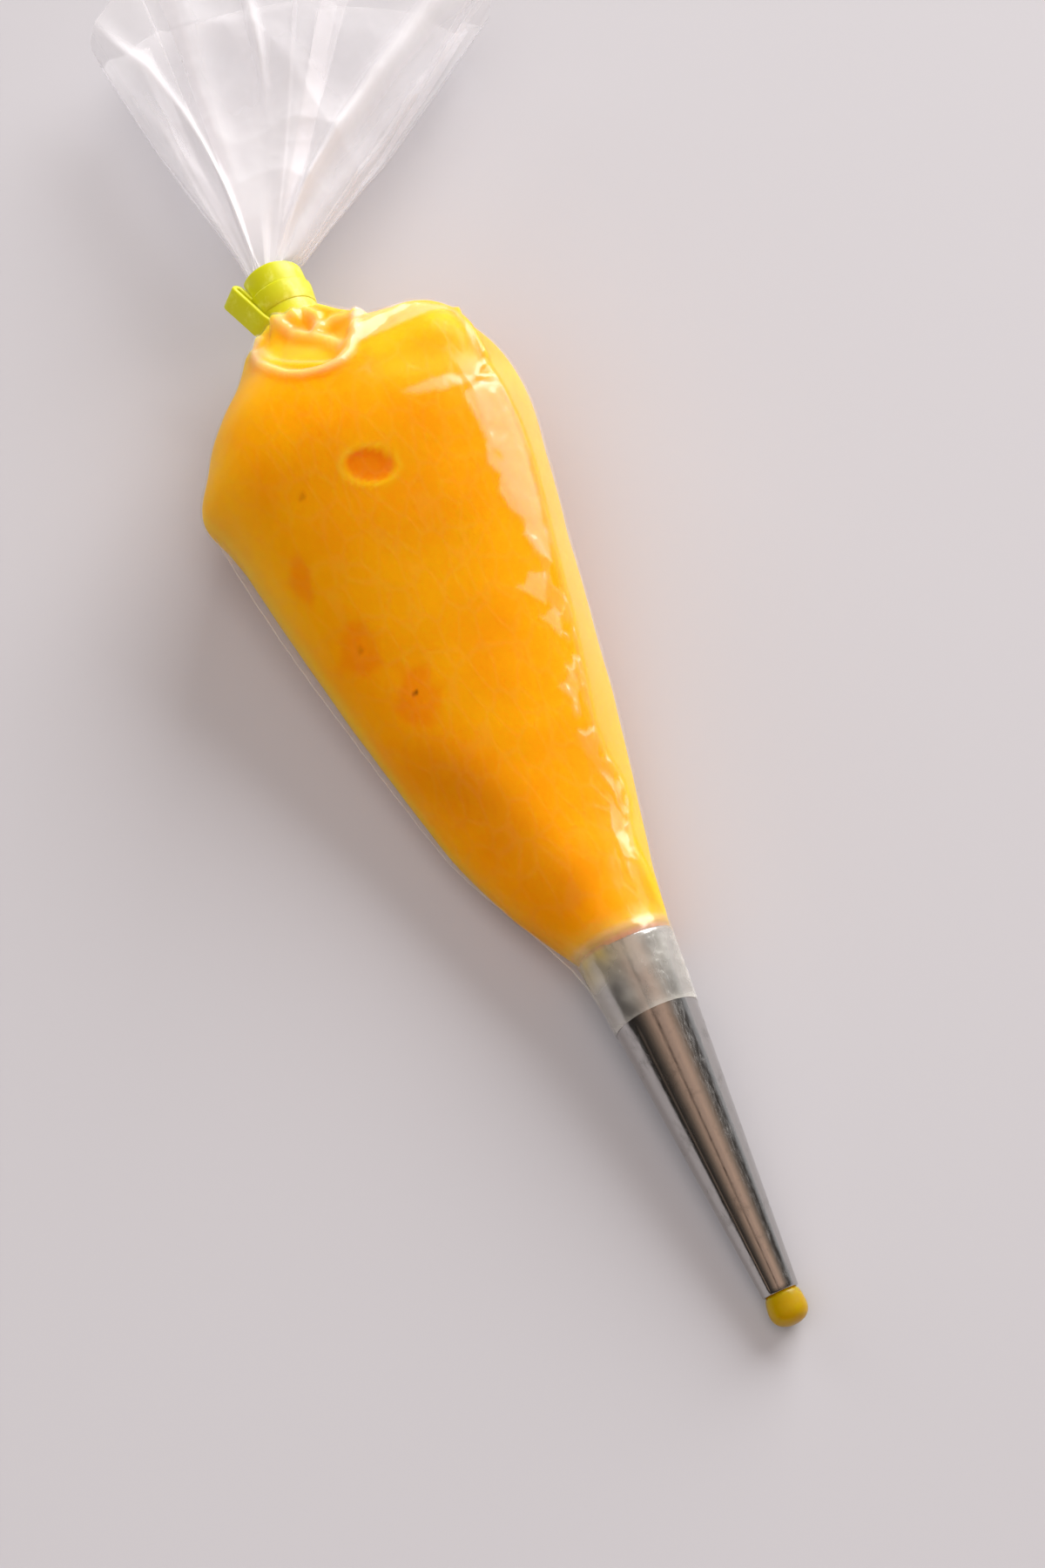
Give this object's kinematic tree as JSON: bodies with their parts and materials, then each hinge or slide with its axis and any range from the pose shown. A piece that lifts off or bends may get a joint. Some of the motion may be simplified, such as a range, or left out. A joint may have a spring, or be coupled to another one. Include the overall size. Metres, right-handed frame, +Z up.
{
  "type": "piping bag",
  "caption": "Clear film piping bag filled with yellow curd, with a long plain steel nozzle at the tip and a band wound round its gathered neck.",
  "frame": {"origin": "on the bag's flat underside, straight below the nozzle's axis and 80 mm behind the nozzle's wide end", "axes": "+X along the bag towards the nozzle's mouth, +Y across the bag, away from its welded side, +Z up from the worktop"},
  "size_m": [0.3255, 0.1051, 0.0442],
  "materials": {
    "film": "clear, glossy, crinkled",
    "curd": "smooth, wet, slightly translucent",
    "tie": "satin silicone",
    "steel": "bright drawn steel"
  },
  "bodies": {
    "bag": {"bag_film": "film", "side_weld": "film", "gathered_neck": "film", "filling_body": "curd"},
    "tail": {"bag_tail": "film"},
    "tie": {"tie_turns": "tie", "tie_loop": "tie"},
    "nozzle": {"nozzle": "steel", "filling_core": "curd"},
    "bead": {"filling_bead": "curd"}
  },
  "joints": [
    {"name": "tail_lift", "type": "hinge", "parent": "bag", "child": "tail", "pos_m": [-0.0906, -0.009, 0.019], "axis": [0, 1, 0], "range_deg": [0, 65]},
    {"name": "tie_turn", "type": "hinge", "parent": "bag", "child": "tie", "pos_m": [-0.0783, -0.009, 0.019], "axis": [-1, 0, 0], "continuous": true},
    {"name": "nozzle_turn", "type": "hinge", "parent": "bag", "child": "nozzle", "pos_m": [0.08, 0, 0.011], "axis": [0.9962, 0, -0.0872], "continuous": true},
    {"name": "bead_out", "type": "slide", "parent": "bag", "child": "bead", "axis": [0.9962, 0, -0.0872], "range_m": [0, 0.008]}
  ]
}
